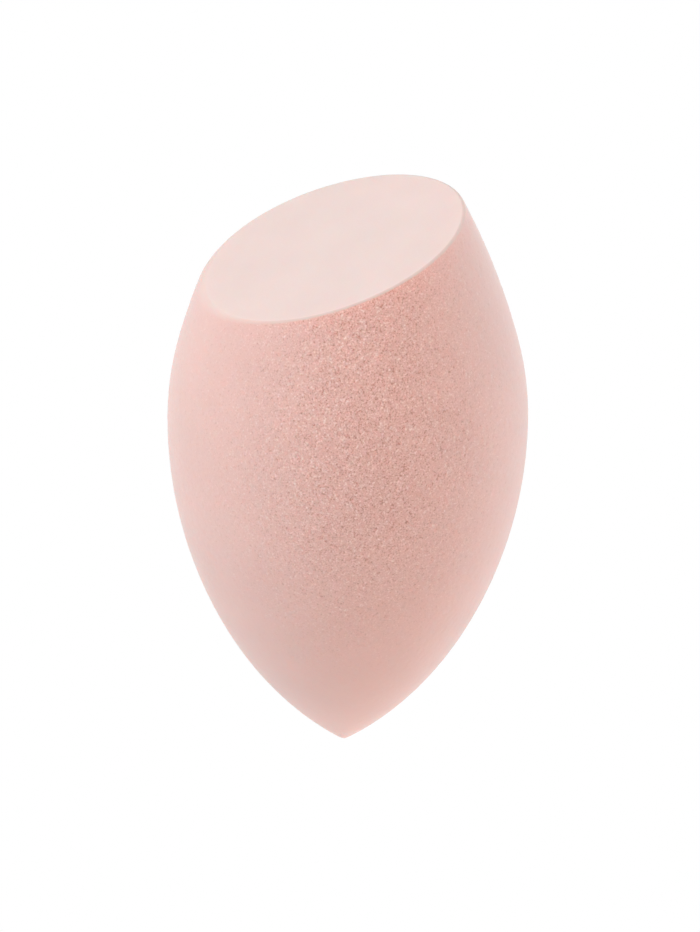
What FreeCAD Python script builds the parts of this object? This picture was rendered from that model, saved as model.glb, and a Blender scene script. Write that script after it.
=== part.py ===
import FreeCAD, Part
import os

# Makeup sponge: one drop of moulded foam whose broad end is sliced off at a slant.
# It stands on the sliced face with its point up, leaning towards its short side.
# Millimetres, +Z up, origin at the middle of the face, +X towards the sponge's long side.

# Round profile of the moulded drop. Heights run along its axis from the widest circle, and each
# draw-in is how far the profile has closed in from the widest circle at that height.
WIDEST_DIAMETER = 40.0
FLANK_DISTANCE = 24.0
FLANK_DRAW_IN = 6.15
POINT_DISTANCE = 39.0
POINT_RADIUS = 0.8
SHOULDER_DISTANCE = 9.0
SHOULDER_DRAW_IN = 1.2
CROWN_DISTANCE = 28.0
CROWN_DRAW_IN = 9.0

# Slice across the broad end: where it crosses the drop's axis, its slant and its softened edge
FACE_DISTANCE = 21.2
FACE_TILT_DEGREES = 19.0
RIM_RADIUS = 0.4

AXIS = FreeCAD.Vector(0, 0, 1)
CENTRE = FreeCAD.Vector(0, 0, 0)
TILT_AXIS = FreeCAD.Vector(0, 1, 0)
FLAT_TOLERANCE = 1e-4


def profile_point(draw_in, height):
    """Point of the half profile, in the XZ plane, at a height above the widest circle."""
    return FreeCAD.Vector(WIDEST_DIAMETER / 2 - draw_in, 0, height)


def axis_point(height):
    """Point on the drop's axis at a height above the widest circle."""
    return FreeCAD.Vector(0, 0, height)


def tangent_arc(start, heading, end):
    """Arc that leaves start along heading and ends at end, with its heading there."""
    chord = end - start
    along = chord * (1 / chord.Length)
    cosine = heading.dot(along)
    bulge = (heading - along * cosine) * (chord.Length / (2 + 2 * cosine))
    middle = (start + end) * 0.5 + bulge
    end_heading = along * (2 * cosine) - heading
    return Part.Arc(start, middle, end).toShape(), end_heading


def point_tangency(start, heading):
    """Where an arc that leaves start along heading touches the small ball that rounds the point."""
    ball = axis_point(POINT_DISTANCE - POINT_RADIUS)
    inward = FreeCAD.Vector(-heading.z, 0, heading.x)
    offset = start - ball
    radius = (POINT_RADIUS**2 - offset.dot(offset)) / (2 * (inward.dot(offset) + POINT_RADIUS))
    arc_centre = start + inward * radius
    to_ball = ball - arc_centre
    return arc_centre + to_ball * (abs(radius) / to_ball.Length)


def point_side():
    """Half profile from the widest circle to the rounded point: belly, flank and nose arcs."""
    widest = profile_point(0, 0)
    flank = profile_point(FLANK_DRAW_IN, FLANK_DISTANCE)
    tip = axis_point(POINT_DISTANCE)
    belly_arc, heading = tangent_arc(widest, AXIS, flank)
    nose_start = point_tangency(flank, heading)
    flank_arc, heading = tangent_arc(flank, heading, nose_start)
    nose_arc, heading = tangent_arc(nose_start, heading, tip)
    return [belly_arc, flank_arc, nose_arc], tip


def crown_side():
    """Half profile from the widest circle to the top of the broad end: belly, shoulder and dome arcs."""
    widest = profile_point(0, 0)
    shoulder = profile_point(SHOULDER_DRAW_IN, -SHOULDER_DISTANCE)
    crown = profile_point(CROWN_DRAW_IN, -CROWN_DISTANCE)
    belly_arc, heading = tangent_arc(widest, -AXIS, shoulder)
    shoulder_arc, heading = tangent_arc(shoulder, heading, crown)
    dome_radius = crown.x / -heading.z
    dome_centre = crown.z - crown.x * heading.x / heading.z
    dome_top = axis_point(dome_centre - dome_radius)
    dome_arc, heading = tangent_arc(crown, heading, dome_top)
    return [belly_arc, shoulder_arc, dome_arc], dome_top


def moulded_drop():
    """Whole drop as it leaves its mould: the half profile turned about the axis."""
    to_point, tip = point_side()
    to_crown, dome_top = crown_side()
    axis_line = Part.LineSegment(tip, dome_top).toShape()
    outline = Part.Wire(Part.__sortEdges__(to_point + to_crown + [axis_line]))
    return Part.Face(outline).revolve(CENTRE, AXIS, 360)


def flat_face(solid):
    """Sliced face of a solid that stands on it."""
    return next(face for face in solid.Faces if face.BoundBox.ZMax < FLAT_TOLERANCE)


def sliced_sponge():
    """Drop set on its slice, cut level there, with the edge softened and the face centred on the origin."""
    drop = moulded_drop()
    drop.translate(AXIS * FACE_DISTANCE)
    drop.rotate(CENTRE, TILT_AXIS, -FACE_TILT_DEGREES)
    reach = drop.BoundBox.DiagonalLength
    kept_space = Part.makeBox(2 * reach, 2 * reach, reach, FreeCAD.Vector(-reach, -reach, 0))
    sponge = drop.common(kept_space).Solids[0]
    sponge = sponge.makeFillet(RIM_RADIUS, flat_face(sponge).Edges).Solids[0]
    sponge.translate(-flat_face(sponge).CenterOfMass)
    return sponge


def print_sizes(sponge):
    """Sizes of the finished sponge, for the build's log."""
    box = sponge.optimalBoundingBox(False, False)
    rest = flat_face(sponge).optimalBoundingBox(False, False)
    middle = sponge.CenterOfMass
    print("box %.2f x %.2f x %.2f mm" % (box.XLength, box.YLength, box.ZLength))
    print("lowest corner %.2f %.2f %.2f mm" % (box.XMin, box.YMin, box.ZMin))
    print("face %.2f x %.2f mm" % (rest.XLength, rest.YLength))
    print("centre of mass %.2f %.2f %.2f mm" % (middle.x, middle.y, middle.z))
    print("volume %.2f cm3, valid %s" % (sponge.Volume / 1000, sponge.isValid()))


os.makedirs("parts", exist_ok=True)
foam_body = sliced_sponge()
foam_body.exportStep("parts/foam_body.step")
print_sizes(foam_body)
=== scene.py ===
import math
from collections import namedtuple

import bpy
import numpy as np
from mathutils import Matrix, Vector, noise


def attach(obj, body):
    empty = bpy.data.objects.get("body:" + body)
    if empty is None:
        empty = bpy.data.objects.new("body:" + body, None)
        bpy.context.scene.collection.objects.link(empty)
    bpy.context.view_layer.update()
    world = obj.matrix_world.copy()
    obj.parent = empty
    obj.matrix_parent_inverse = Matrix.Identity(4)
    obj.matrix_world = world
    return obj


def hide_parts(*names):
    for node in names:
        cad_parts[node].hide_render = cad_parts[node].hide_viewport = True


# Makeup sponge: the foam's pored skin and sliced face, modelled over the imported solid,
# and a plain white studio. Metres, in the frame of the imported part.

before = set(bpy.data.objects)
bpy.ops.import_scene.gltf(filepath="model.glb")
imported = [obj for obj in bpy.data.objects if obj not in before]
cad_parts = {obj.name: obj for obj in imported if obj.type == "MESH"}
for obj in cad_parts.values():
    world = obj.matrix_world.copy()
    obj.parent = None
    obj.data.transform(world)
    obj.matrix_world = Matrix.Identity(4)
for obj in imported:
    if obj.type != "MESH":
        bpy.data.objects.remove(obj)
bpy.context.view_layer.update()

MM = 0.001
FULL_TURN = 2 * math.pi
WHOLE = (0.0, 1.0)
WHITE = (1.0, 1.0, 1.0)

# The drop's axis, which leans from +Z towards -X, the directions across it at turns of 0 and 90 degrees,
# and the way that the sliced face looks
AXIS_LEAN = math.radians(19.0)
AXIS = np.array([-math.sin(AXIS_LEAN), 0.0, math.cos(AXIS_LEAN)])
ACROSS = np.array([math.cos(AXIS_LEAN), 0.0, math.sin(AXIS_LEAN)])
SIDEWAYS = np.array([0.0, 1.0, 0.0])
DOWN = np.array([0.0, 0.0, -1.0])

# Soft edge round the sliced face: its plain and its largest radius, and the turn of its rounder end
RIM_RADIUS = 0.4 * MM
SOFT_RIM_RADIUS = 1.8 * MM
SOFT_RIM_TURN = math.radians(200.0)
SOFT_RIM_FOCUS = 4

# How the drop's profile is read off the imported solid
PROFILE_STEP = 0.05 * MM
PROFILE_AVERAGE = 41
CROWN_POINTS = 400
CROWN_REACH = 3.0 * MM
CROWN_STEPS = 20
TURN_SAMPLES = 720

# Mesh of the foam: how close its points and rings are, and how far points stray from their places
SKIN_STEP = 0.265 * MM
RIM_RINGS = 7
FACE_RINGS = 49
LEAST_POINTS = 6
STRAY_SHARE = 0.28
SEED = 7

# Pores as heights from the smooth form: grain, pits and crumbs of the skin, and grain of the face
SKIN_GRAIN = 0.016 * MM
PIT_SHARE = 0.08
PIT_DEPTH = (0.01 * MM, 0.04 * MM)
CRUMB_SHARE = 0.05
CRUMB_HEIGHT = (0.01 * MM, 0.025 * MM)
FACE_GRAIN = 0.0015 * MM
# Height of the grain at which the painted shade in pits and the painted light on crumbs are full
FULL_PORE = 0.17 * MM

# Where the pores are many or strong: in patches, on two broad sides and away from the point
PATCH_SIZE = 5.0 * MM
PATCH_CONTRAST = 0.8
PATCH_CROWD = (0.7, 1.3)
DENSE_TURN = math.radians(106.0)
BROAD_FOCUS = 4
LEAST_PORED = 0.58
MOST_PORED = 1.7
POINT_PORED = 0.14
POINT_FADE = (9.0 * MM, 47.0 * MM)
EDGE_FADE_RINGS = 2

# The map: middle and radius of the two discs that the side and the face are unrolled to,
# and how far out on its disc the side ends and the soft edge begins
SIDE_DISC = (0.42, 0.42, 0.41)
FACE_DISC = (0.885, 0.885, 0.105)
RIM_SHARE = 0.985

# Colours of the foam: the skin, with painted shade in its pits and painted light on its crumbs, a painted
# shade line along the soft edge, and the sliced face, paler partly as cut foam and partly as painted light
SKIN = (0.745, 0.455, 0.405)
SKIN_PIT_SHADE = (0.51, 0.265, 0.215)
SKIN_CRUMB_LIGHT = (0.90, 0.67, 0.625)
# A darker, greyer line along the crisp soft edge: painted shade
EDGE_SHADE = (0.65, 0.50, 0.465)
# The face is paler than the skin partly as cut foam and partly as painted light, and a little darker in
# its fine hollows as painted shade
FACE = (0.81, 0.64, 0.60)
FACE_PIT_SHADE = (0.80, 0.625, 0.585)

# Levels of the grain between which the skin keeps its plain colour, below which its pits take painted
# shade and above which its crumbs take painted light, and over which the face goes from painted shade in
# its hollows to plain
PLAIN_SKIN = (0.42, 0.58)
FACE_STOPS = (0.2, 0.6)

# How late the face's colour sets in across the soft edge, as a power, where the edge is round and crisp
FACE_ONSET = (1, 3)

# Painted light and shade that multiply the skin's colour: a paler painted-light tint on its narrow sides,
# and a richer painted-shade tint on its broad sides and point
PAINTED_LIGHT_TINT = (0.93, 1.01, 1.04)
PAINTED_SHADE_TINT = (1.02, 0.98, 0.95)
PAINTED_SHADE_TURN = math.radians(94.0)
PAINTED_SHADE_FADE = 14.0 * MM

# Noise in the material: fine grain and a slow change of tone
NOISE_DETAIL = 2.0
NOISE_RANGE = (0.25, 0.75)
FINE_GRAIN = 1.1
FINE_GRAIN_SIZE = 0.19 * MM
FINE_GRAIN_DEPTH = 0.006 * MM
TONE_SIZE = 7.0 * MM
TONE_CHANGE = 0.02
ROUGHNESS = (0.82, 0.96)

# How the foam takes light: little shine, a pale fuzz, and light that red carries furthest inside it
FOAM_SURFACE = {
    "Specular IOR Level": 0.2,
    "Sheen Weight": 0.4,
    "Sheen Roughness": 0.5,
    "Subsurface Weight": 0.55,
    "Subsurface Scale": 5.0 * MM,
    "Subsurface Radius": (1.0, 0.3, 0.2),
}

# The photograph's camera: where it stands as seen from the middle of the drop's widest circle
CAMERA_DISTANCE = 1.0
CAMERA_HEIGHT = math.radians(22.0)
CAMERA_TURN = math.radians(23.12)
CAMERA_ROLL = math.radians(0.735)
IMAGE_WIDTH = 700
IMAGE_HEIGHT = 932
WIDEST_PIXEL = (347.8, 416.6)
PIXELS_PER_METRE = 9013.0
SENSOR = 36.0

# Studio: the floor, the even light and the soft lamps
FLOOR_DROP = 0.05 * MM
FLOOR_RADIUS = 0.5
FLOOR_FADE = (0.05, 0.16)
FLOOR_POINTS = 96
FLOOR_COLOUR = (0.82, 0.82, 0.82)
AMBIENT = 0.52
LAMP_DISTANCE = 0.6
LAMP_SIZE = 0.6

# Each lamp's direction in the photograph, as right, up and towards the camera, and its power in watts
LAMPS = {
    "lamp_left": ((-1.0, -0.42, 0.19), 2.06),
    "lamp_right": ((1.0, -0.5, -0.42), 2.5),
    "lamp_face": ((-0.25, 0.7, 0.75), 2.38),
    "lamp_front": ((0.8, -0.35, 0.6), 0.42),
    "lamp_behind": ((0.0, -0.2, -1.0), 1.2),
}

# A ring of points round the sponge. Its shares say how far out it is on each disc of the map, with nan
# for a disc that it isn't on. Sliced runs from the skin at 0 to the face at 1, and pored is how much
# of the skin's pores it has.
Ring = namedtuple(
    "Ring",
    "turn points normals side_share face_share sliced pored",
    defaults=(math.nan, math.nan, 0.0, 0.0),
)


def unit(vectors):
    """Vectors, one to a row, brought to length 1."""
    return vectors / np.linalg.norm(vectors, axis=-1, keepdims=True)


def between(start, stop, share):
    """Value some share of the way from start to stop."""
    return start + (stop - start) * share


def rim_radius(turn):
    """Radius of the soft edge by turn: one end of it is rounder than the rest."""
    soft = np.clip(np.cos(turn - SOFT_RIM_TURN), 0.0, 1.0) ** SOFT_RIM_FOCUS
    return between(RIM_RADIUS, SOFT_RIM_RADIUS, soft)


def node_points(name):
    """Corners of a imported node's mesh."""
    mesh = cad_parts[name].data
    points = np.empty(len(mesh.vertices) * 3, np.float32)
    mesh.vertices.foreach_get("co", points)
    return points.reshape(-1, 3).astype(float)


class Drop:
    """Smooth form of the sponge: a profile turned about the leaning axis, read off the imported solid."""

    def __init__(self, points):
        tip = points[np.argmax(points @ AXIS)]
        self.foot = tip - AXIS * (tip[2] / AXIS[2])
        self.read_profile(points, tip)
        self.find_rim()

    def read_profile(self, points, tip):
        """Height along the axis and radius of the side, at even steps of length from the tip."""
        side = points[points[:, 2] > RIM_RADIUS] - self.foot
        height = side @ AXIS
        radius = np.linalg.norm(side - np.outer(height, AXIS), axis=1)
        order = np.argsort(-height)
        window = np.ones(PROFILE_AVERAGE) / PROFILE_AVERAGE
        height = np.convolve(height[order], window, "valid")
        radius = np.convolve(radius[order], window, "valid")
        crown = np.polyfit(height[-CROWN_POINTS:], radius[-CROWN_POINTS:], 2)
        beyond = height[-1] - CROWN_REACH * np.linspace(1 / CROWN_STEPS, 1.0, CROWN_STEPS)
        height = np.concatenate([[(tip - self.foot) @ AXIS], height, beyond])
        radius = np.concatenate([[0.0], radius, np.polyval(crown, beyond)])
        length = np.concatenate([[0.0], np.cumsum(np.hypot(np.diff(height), np.diff(radius)))])
        self.length = np.arange(0.0, length[-1], PROFILE_STEP)
        self.height = np.interp(self.length, length, height)
        self.radius = np.interp(self.length, length, radius)
        self.rise = np.gradient(self.height, PROFILE_STEP)
        self.spread = np.gradient(self.radius, PROFILE_STEP)
        self.widest = np.argmax(self.radius)

    def widest_middle(self):
        """Middle of the widest circle."""
        return self.foot + self.height[self.widest] * AXIS

    def side(self, length, turn):
        """Points of the side and their normals, by length from the tip and turn about the axis."""
        height, radius, rise, spread = (
            np.interp(length, self.length, values)[:, None]
            for values in (self.height, self.radius, self.rise, self.spread)
        )
        outward = np.outer(np.cos(turn), ACROSS) + np.outer(np.sin(turn), SIDEWAYS)
        points = self.foot + height * AXIS + radius * outward
        return points, unit(spread * AXIS - rise * outward)

    def find_rim(self):
        """Where the side ends at each turn: a ball there touches both the side and the face."""
        self.turn = np.linspace(0.0, FULL_TURN, TURN_SAMPLES + 1)
        self.rim = np.empty(TURN_SAMPLES + 1)
        lengths = self.length[self.widest:]
        for index, turn in enumerate(self.turn):
            points, normals = self.side(lengths, np.full(len(lengths), turn))
            radius = rim_radius(turn)
            ball_height = points[:, 2] - radius * normals[:, 2]
            self.rim[index] = np.interp(-radius, -ball_height, lengths)
        self.mean_rim = self.rim.mean()

    def rim_length(self, turn):
        """Length from the tip at which the side ends, by turn."""
        return np.interp(turn % FULL_TURN, self.turn, self.rim)

    def soft_edge(self, share, turn):
        """Points of the soft edge and their normals, from the side at share 0 to the face at share 1."""
        points, normals = self.side(self.rim_length(turn), turn)
        angle = np.arccos(np.clip(normals @ DOWN, -1.0, 1.0))[:, None]
        blended = unit(np.sin((1 - share) * angle) * normals + np.sin(share * angle) * DOWN)
        return points + rim_radius(turn)[:, None] * (blended - normals), blended


def ring_turns(steps_around, random):
    """Even turns for a ring that is some number of steps round, started anywhere."""
    number = max(LEAST_POINTS, round(steps_around))
    return (np.arange(number) + random.random()) * (FULL_TURN / number)


def side_rings(drop, random):
    """Rings of the moulded side from the tip to the soft edge, their points strayed along the surface."""
    tip_turn = np.zeros(1)
    rings = [Ring(tip_turn, *drop.side(np.zeros(1), tip_turn), side_share=0.0)]
    number = round(drop.mean_rim / SKIN_STEP)
    for index in range(1, number + 1):
        share = index / number
        around = FULL_TURN * np.interp(share * drop.mean_rim, drop.length, drop.radius)
        turn = ring_turns(around / SKIN_STEP, random)
        loose = STRAY_SHARE if index < number else 0.0
        strayed_turn = turn + loose * FULL_TURN / len(turn) * random.uniform(-1, 1, len(turn))
        strayed_share = share + loose / number * random.uniform(-1, 1, len(turn))
        points, normals = drop.side(strayed_share * drop.rim_length(strayed_turn), strayed_turn)
        pored = min(1.0, (number - index) / EDGE_FADE_RINGS)
        rings.append(Ring(turn, points, normals, side_share=share * RIM_SHARE, pored=pored))
    return rings


def rim_rings(drop, turn):
    """Rings of the soft edge, from the side to the face. The last one is on both discs of the map."""
    rings = []
    for index in range(1, RIM_RINGS + 1):
        share = index / RIM_RINGS
        points, normals = drop.soft_edge(share, turn)
        side_share = between(RIM_SHARE, 1.0, share)
        face_share = 1.0 if index == RIM_RINGS else math.nan
        rings.append(Ring(turn, points, normals, side_share, face_share, sliced=share))
    return rings


def face_rings(drop, random):
    """Rings of the sliced face, from inside the soft edge to the middle, as far apart as their points."""
    rings = []
    for index in range(FACE_RINGS - 1, 0, -1):
        share = index / FACE_RINGS
        turn = ring_turns(FULL_TURN * index, random)
        edge, normals = drop.soft_edge(1.0, turn)
        rings.append(Ring(turn, edge * share, normals, face_share=share, sliced=1.0))
    middle = np.zeros((1, 3))
    rings.append(Ring(np.zeros(1), middle, DOWN[None, :], face_share=0.0, sliced=1.0))
    return rings


def stitch(inner_start, inner_turn, outer_start, outer_turn):
    """Triangles between two neighbouring rings, which may hold different numbers of points."""
    inner_count, outer_count = len(inner_turn), len(outer_turn)
    inner_next = np.append(inner_turn[1:], inner_turn[0] + FULL_TURN)
    outer_next = np.append(outer_turn[1:], outer_turn[0] + FULL_TURN)
    triangles = []
    inner, outer = 0, 0
    while inner < inner_count or outer < outer_count:
        here = inner_start + inner % inner_count
        there = outer_start + outer % outer_count
        if outer == outer_count or (inner < inner_count and inner_next[inner] < outer_next[outer]):
            inner += 1
            corner = inner_start + inner % inner_count
        else:
            outer += 1
            corner = outer_start + outer % outer_count
        if corner not in (here, there):
            triangles.append((here, there, corner))
    return triangles


def ring_triangles(rings):
    """Triangles of the whole surface, as numbers of its points counted ring by ring."""
    starts = np.cumsum([0] + [len(ring.turn) for ring in rings])
    triangles = []
    for index, (inner, outer) in enumerate(zip(rings, rings[1:])):
        triangles += stitch(starts[index], inner.turn, starts[index + 1], outer.turn)
    return np.array(triangles)


def join_rings(rings):
    """All rings as one, with each ring's own values spread to every point of it."""
    counts = [len(ring.turn) for ring in rings]
    turn, points, normals, *ring_values = zip(*rings)
    spread = [np.repeat(values, counts) for values in ring_values]
    return Ring(np.concatenate(turn), np.concatenate(points), np.concatenate(normals), *spread)


def crowding(points):
    """How many pores there are, as a share of the usual number, in slow patches over the surface."""
    values = np.array([noise.noise(Vector(point / PATCH_SIZE)) for point in points])
    return between(*PATCH_CROWD, np.clip(0.5 + PATCH_CONTRAST * values, 0.0, 1.0))


def broad_side(turn, middle):
    """How near a turn is to the middle of one of the drop's two broad sides, from 0 to 1."""
    return np.cos(turn - middle) ** BROAD_FOCUS


def pore_strength(length, turn):
    """How strong the pores are: most on two opposite sides of the belly, least towards the point."""
    start, stop = POINT_FADE
    share = np.clip((length - start) / (stop - start), 0.0, 1.0)
    belly = between(POINT_PORED, 1.0, share * share * (3 - 2 * share))
    return belly * between(LEAST_PORED, MOST_PORED, broad_side(turn, DENSE_TURN))


def pore_heights(surface, strength, random):
    """Height of each point over the smooth form: grain, pits and crumbs on the skin, grain on the face."""
    number = len(surface.points)
    crowd = crowding(surface.points)
    draw = random.random(number)
    pits = draw < PIT_SHARE * crowd
    crumbs = draw > 1 - CRUMB_SHARE * crowd
    heights = SKIN_GRAIN * random.standard_normal(number)
    heights -= pits * random.uniform(*PIT_DEPTH, number)
    heights += crumbs * random.uniform(*CRUMB_HEIGHT, number)
    heights -= heights.mean()
    face_heights = (surface.sliced == 1.0) * FACE_GRAIN * random.standard_normal(number)
    return surface.pored * strength * heights + face_heights


def disc_places(disc, share, turn):
    """Places on a disc of the map."""
    middle_x, middle_y, radius = disc
    reach = radius * share
    return np.stack([middle_x + reach * np.cos(turn), middle_y + reach * np.sin(turn)], axis=1)


def add_map(mesh, surface, triangles):
    """Unrolls the side and the face to a disc each."""
    on_face = ~np.isnan(surface.face_share[triangles]).any(axis=1)
    side_places = disc_places(SIDE_DISC, surface.side_share, surface.turn)
    face_places = disc_places(FACE_DISC, surface.face_share, surface.turn)
    places = np.where(on_face[:, None, None], face_places[triangles], side_places[triangles])
    mesh.uv_layers.new(name="OFBake").uv.foreach_set("vector", places.ravel())


def add_marks(mesh, surface, length, strength, heights):
    """Values at each point for the material: the pores' heights for their painted shade and light, the
    soft edge's painted shade line, the sliced face and the painted light and shade by side.
    """
    sliced = surface.sliced
    crisp = RIM_RADIUS / rim_radius(surface.turn)
    from_point = np.clip(length / PAINTED_SHADE_FADE, 0.0, 1.0)
    marks = {
        "pore": np.clip(heights / FULL_PORE, -1, 1),
        "pored": strength * (1 - sliced) / MOST_PORED,
        # Where the soft edge's painted shade line lies: most at its crisp middle
        "edge": 4 * sliced * (1 - sliced) * crisp,
        "sliced": sliced ** between(*FACE_ONSET, crisp),
        # Where the skin takes the richer painted-shade tint rather than the paler painted-light tint: by
        # side, and always near the point
        "broad": 1 - from_point * (1 - broad_side(surface.turn, PAINTED_SHADE_TURN)),
    }
    for name, values in marks.items():
        mesh.attributes.new(name, "FLOAT", "POINT").data.foreach_set("value", values)


def foam_mesh(drop):
    """The sponge's foam as one closed mesh with its pores, its map and its marks for the material."""
    random = np.random.default_rng(SEED)
    side = side_rings(drop, random)
    rings = side + rim_rings(drop, side[-1].turn) + face_rings(drop, random)
    triangles = ring_triangles(rings)
    surface = join_rings(rings)
    length = np.nan_to_num(surface.side_share) * drop.mean_rim
    strength = pore_strength(length, surface.turn)
    heights = pore_heights(surface, strength, random)
    points = surface.points + heights[:, None] * surface.normals

    mesh = bpy.data.meshes.new("sponge_foam")
    mesh.from_pydata(points.tolist(), [], triangles.tolist())
    mesh.shade_smooth()
    add_map(mesh, surface, triangles)
    add_marks(mesh, surface, length, strength, heights)
    return mesh


def add_node(tree, kind, **settings):
    """A node with its settings and the plain values of its sockets."""
    node = tree.nodes.new(kind)
    for name, value in settings.items():
        if name in node.inputs:
            node.inputs[name].default_value = value
        else:
            setattr(node, name, value)
    return node


def opaque(colour):
    """A colour with full alpha."""
    return (*colour, 1.0)


def new_material(name):
    """A material that is made of nodes."""
    material = bpy.data.materials.new(name)
    material.use_nodes = True
    return material


def mark(tree, name):
    """Value that the mesh gives each point under a name."""
    return add_node(tree, "ShaderNodeAttribute", attribute_name=name).outputs["Fac"]


def object_place(tree):
    """Place on the object's surface, in metres."""
    return add_node(tree, "ShaderNodeTexCoord").outputs["Object"]


def carry(tree, value, source, target, **settings):
    """A value carried from one range to another and kept within it."""
    node = add_node(tree, "ShaderNodeMapRange", **settings)
    for name, number in zip(("From Min", "From Max", "To Min", "To Max"), (*source, *target)):
        node.inputs[name].default_value = number
    tree.links.new(value, node.inputs["Value"])
    return node.outputs["Result"]


def grain(tree, place, size, reach):
    """Noise of some size over the surface, spread between two values."""
    texture = add_node(tree, "ShaderNodeTexNoise", Scale=1 / size, Detail=NOISE_DETAIL)
    tree.links.new(place, texture.inputs["Vector"])
    return carry(tree, texture.outputs["Fac"], NOISE_RANGE, reach)


def ramp(tree, source, stops):
    """Colours along a value from 0 to 1."""
    node = tree.nodes.new("ShaderNodeValToRGB")
    elements = node.color_ramp.elements
    while len(elements) < len(stops):
        elements.new(0.5)
    for element, (place, colour) in zip(elements, stops):
        element.position = place
        element.color = opaque(colour)
    tree.links.new(source, node.inputs["Fac"])
    return node.outputs["Color"]


def mix_colours(tree, blend, first, second, share=None):
    """Two colours blended, by a share of the second where one is given. The second may be plain."""
    node = add_node(tree, "ShaderNodeMix", data_type="RGBA", blend_type=blend)
    sockets = {socket.identifier: socket for socket in [*node.inputs, *node.outputs]}
    sockets["Factor_Float"].default_value = 1.0
    if share is not None:
        tree.links.new(share, sockets["Factor_Float"])
    tree.links.new(first, sockets["A_Color"])
    if isinstance(second, tuple):
        sockets["B_Color"].default_value = opaque(second)
    else:
        tree.links.new(second, sockets["B_Color"])
    return sockets["Result_Color"]


def larger(tree, first, second):
    """The larger of two values."""
    node = add_node(tree, "ShaderNodeMath", operation="MAXIMUM")
    tree.links.new(first, node.inputs[0])
    tree.links.new(second, node.inputs[1])
    return node.outputs[0]


def set_surface(tree, output, first, second, share):
    """Gives a tree's output two shaders, mixed by a share of the second."""
    mix = add_node(tree, "ShaderNodeMixShader")
    tree.links.new(share, mix.inputs["Fac"])
    tree.links.new(first, mix.inputs[1])
    tree.links.new(second, mix.inputs[2])
    tree.links.new(mix.outputs["Shader"], tree.nodes[output].inputs["Surface"])


def skin_colour(tree, place):
    """Colour of the moulded skin: painted shade in its pits, painted light on its crumbs, and a paler
    painted-light or richer painted-shade tint by side.
    """
    height = add_node(tree, "ShaderNodeMath", operation="MULTIPLY_ADD")
    tree.links.new(grain(tree, place, FINE_GRAIN_SIZE, (-FINE_GRAIN, FINE_GRAIN)), height.inputs[0])
    tree.links.new(mark(tree, "pored"), height.inputs[1])
    tree.links.new(mark(tree, "pore"), height.inputs[2])
    level = carry(tree, height.outputs[0], (-1.0, 1.0), WHOLE)
    plain_from, plain_to = PLAIN_SKIN
    # Pits take painted shade and crumbs take painted light, by the grain's height
    stops = [(0.0, SKIN_PIT_SHADE), (plain_from, SKIN), (plain_to, SKIN), (1.0, SKIN_CRUMB_LIGHT)]
    # Painted light and shade by side: paler on the narrow sides, richer on the broad sides and point
    painted_light_and_shade = ramp(tree, mark(tree, "broad"), [(0.0, PAINTED_LIGHT_TINT), (1.0, PAINTED_SHADE_TINT)])
    return mix_colours(tree, "MULTIPLY", ramp(tree, level, stops), painted_light_and_shade)


def foam_colour(tree, place, fine):
    """Colour of the foam: the skin, a painted shade line along the soft edge and the paler face, partly
    painted light, with a slow change of tone.
    """
    foam = mix_colours(tree, "MIX", skin_colour(tree, place), EDGE_SHADE, mark(tree, "edge"))
    # The face is a little darker where the fine bump is low: painted shade in its hollows
    face = ramp(tree, fine, list(zip(FACE_STOPS, (FACE_PIT_SHADE, FACE))))
    foam = mix_colours(tree, "MIX", foam, face, mark(tree, "sliced"))
    tone = grain(tree, place, TONE_SIZE, (1 - TONE_CHANGE, 1 + TONE_CHANGE))
    return mix_colours(tree, "MULTIPLY", foam, tone)


def foam_material():
    """Soft matt foam: dark pits and pale crumbs on the moulded skin, a paler sliced face."""
    material = new_material("foam")
    tree = material.node_tree
    shader = tree.nodes["Principled BSDF"]
    place = object_place(tree)
    fine = grain(tree, place, FINE_GRAIN_SIZE, WHOLE)
    bump = add_node(tree, "ShaderNodeBump", Distance=FINE_GRAIN_DEPTH)
    tree.links.new(fine, bump.inputs["Height"])
    tree.links.new(foam_colour(tree, place, fine), shader.inputs["Base Color"])
    tree.links.new(grain(tree, place, FINE_GRAIN_SIZE, ROUGHNESS), shader.inputs["Roughness"])
    tree.links.new(bump.outputs["Normal"], shader.inputs["Normal"])
    for name, value in FOAM_SURFACE.items():
        shader.inputs[name].default_value = value
    return material


def floor_material():
    """Pale floor that keeps the shadow, fades into the white far away and is clear from below."""
    material = new_material("floor")
    tree = material.node_tree
    tree.nodes.remove(tree.nodes["Principled BSDF"])
    pale = add_node(tree, "ShaderNodeBsdfDiffuse", Color=opaque(FLOOR_COLOUR))
    clear = add_node(tree, "ShaderNodeBsdfTransparent")
    distance = add_node(tree, "ShaderNodeVectorMath", operation="LENGTH")
    tree.links.new(object_place(tree), distance.inputs[0])
    far = carry(tree, distance.outputs["Value"], FLOOR_FADE, WHOLE, interpolation_type="SMOOTHSTEP")
    below = add_node(tree, "ShaderNodeNewGeometry").outputs["Backfacing"]
    unseen = larger(tree, far, below)
    set_surface(tree, "Material Output", pale.outputs["BSDF"], clear.outputs["BSDF"], unseen)
    return material


def add_object(name, data):
    """An object of the scene."""
    piece = bpy.data.objects.new(name, data)
    bpy.context.scene.collection.objects.link(piece)
    return piece


def add_foam(drop):
    """The sponge itself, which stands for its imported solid."""
    foam = add_object("sponge_foam", foam_mesh(drop))
    foam.data.materials.append(foam_material())
    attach(foam, "root")
    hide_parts("foam_body")


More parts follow.
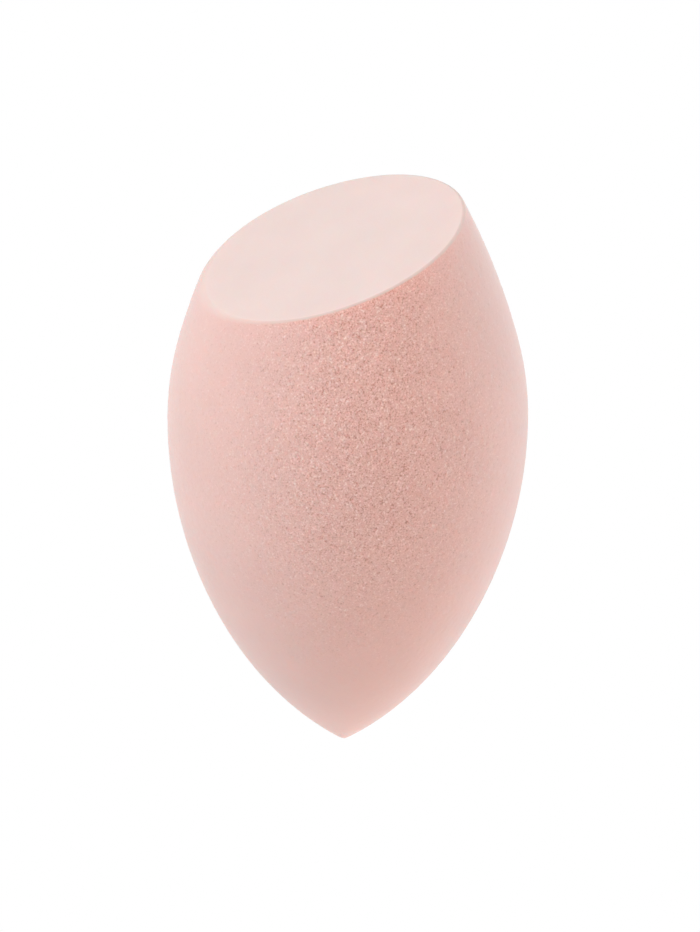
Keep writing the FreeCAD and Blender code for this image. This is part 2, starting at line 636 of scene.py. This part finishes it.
def photo_axes():
    """The photograph's right, up and towards-the-camera directions."""
    right = math.cos(CAMERA_TURN) * ACROSS + math.sin(CAMERA_TURN) * SIDEWAYS
    away = math.sin(CAMERA_TURN) * ACROSS - math.cos(CAMERA_TURN) * SIDEWAYS
    up = math.sin(CAMERA_HEIGHT) * away - math.cos(CAMERA_HEIGHT) * AXIS
    towards = -math.cos(CAMERA_HEIGHT) * away - math.sin(CAMERA_HEIGHT) * AXIS
    rolled_right = math.cos(CAMERA_ROLL) * right + math.sin(CAMERA_ROLL) * up
    rolled_up = math.cos(CAMERA_ROLL) * up - math.sin(CAMERA_ROLL) * right
    return Vector(rolled_right), Vector(rolled_up), Vector(towards)


def add_camera(drop):
    """The photograph's camera, which looks at the middle of the image."""
    right, up, towards = photo_axes()
    widest = Vector(drop.widest_middle())
    pixels_right = IMAGE_WIDTH / 2 - WIDEST_PIXEL[0]
    pixels_down = IMAGE_HEIGHT / 2 - WIDEST_PIXEL[1]
    target = widest + (pixels_right * right - pixels_down * up) / PIXELS_PER_METRE
    place = widest + CAMERA_DISTANCE * towards
    backward = (place - target).normalized()
    rightward = up.cross(backward).normalized()
    lens = bpy.data.cameras.new("camera")
    lens.sensor_width = SENSOR
    lens.lens = SENSOR * PIXELS_PER_METRE * CAMERA_DISTANCE / IMAGE_HEIGHT
    camera = add_object("camera", lens)
    turned = Matrix((rightward, backward.cross(rightward), backward)).transposed()
    camera.matrix_world = Matrix.Translation(place) @ turned.to_4x4()
    bpy.context.scene.camera = camera


def add_world():
    """White where the background shows, and a softer even light on everything."""
    world = bpy.data.worlds.new("studio")
    world.use_nodes = True
    bpy.context.scene.world = world
    tree = world.node_tree
    light = tree.nodes["Background"]
    light.inputs["Color"].default_value = opaque(WHITE)
    light.inputs["Strength"].default_value = AMBIENT
    backdrop = add_node(tree, "ShaderNodeBackground", Color=opaque(WHITE), Strength=1.0)
    path = add_node(tree, "ShaderNodeLightPath")
    seen = path.outputs["Is Camera Ray"]
    for name in ("Is Glossy Ray", "Is Transmission Ray"):
        seen = larger(tree, seen, path.outputs[name])
    set_surface(tree, "World Output", light.outputs["Background"], backdrop.outputs["Background"], seen)


def add_floor():
    """Round floor under the sponge. It takes the sponge's shadow and lets light through from below."""
    turns = np.arange(FLOOR_POINTS) * (FULL_TURN / FLOOR_POINTS)
    corners = [(FLOOR_RADIUS * math.cos(turn), FLOOR_RADIUS * math.sin(turn), 0.0) for turn in turns]
    mesh = bpy.data.meshes.new("floor")
    mesh.from_pydata(corners, [], [list(range(FLOOR_POINTS))])
    mesh.materials.append(floor_material())
    floor = add_object("floor", mesh)
    floor.location.z = -FLOOR_DROP
    floor.visible_shadow = False
    floor.visible_diffuse = False
    floor.visible_glossy = False


def add_lamp(name, direction, power):
    """A square soft lamp that shines on the sponge from a direction."""
    data = bpy.data.lights.new(name, "AREA")
    data.size = LAMP_SIZE
    data.energy = power
    lamp = add_object(name, data)
    lamp.location = direction.normalized() * LAMP_DISTANCE
    lamp.rotation_mode = "QUATERNION"
    lamp.rotation_quaternion = direction.to_track_quat("Z", "Y")
    lamp.visible_camera = False


def add_lamps():
    """Soft lamps round the sponge, placed as seen in the photograph."""
    right, up, towards = photo_axes()
    for name, (direction, power) in LAMPS.items():
        rightward, upward, nearward = direction
        add_lamp(name, rightward * right + upward * up + nearward * towards, power)


bpy.context.scene.view_settings.view_transform = "Standard"
drop = Drop(node_points("foam_body"))
add_foam(drop)
add_camera(drop)
add_world()
add_floor()
add_lamps()
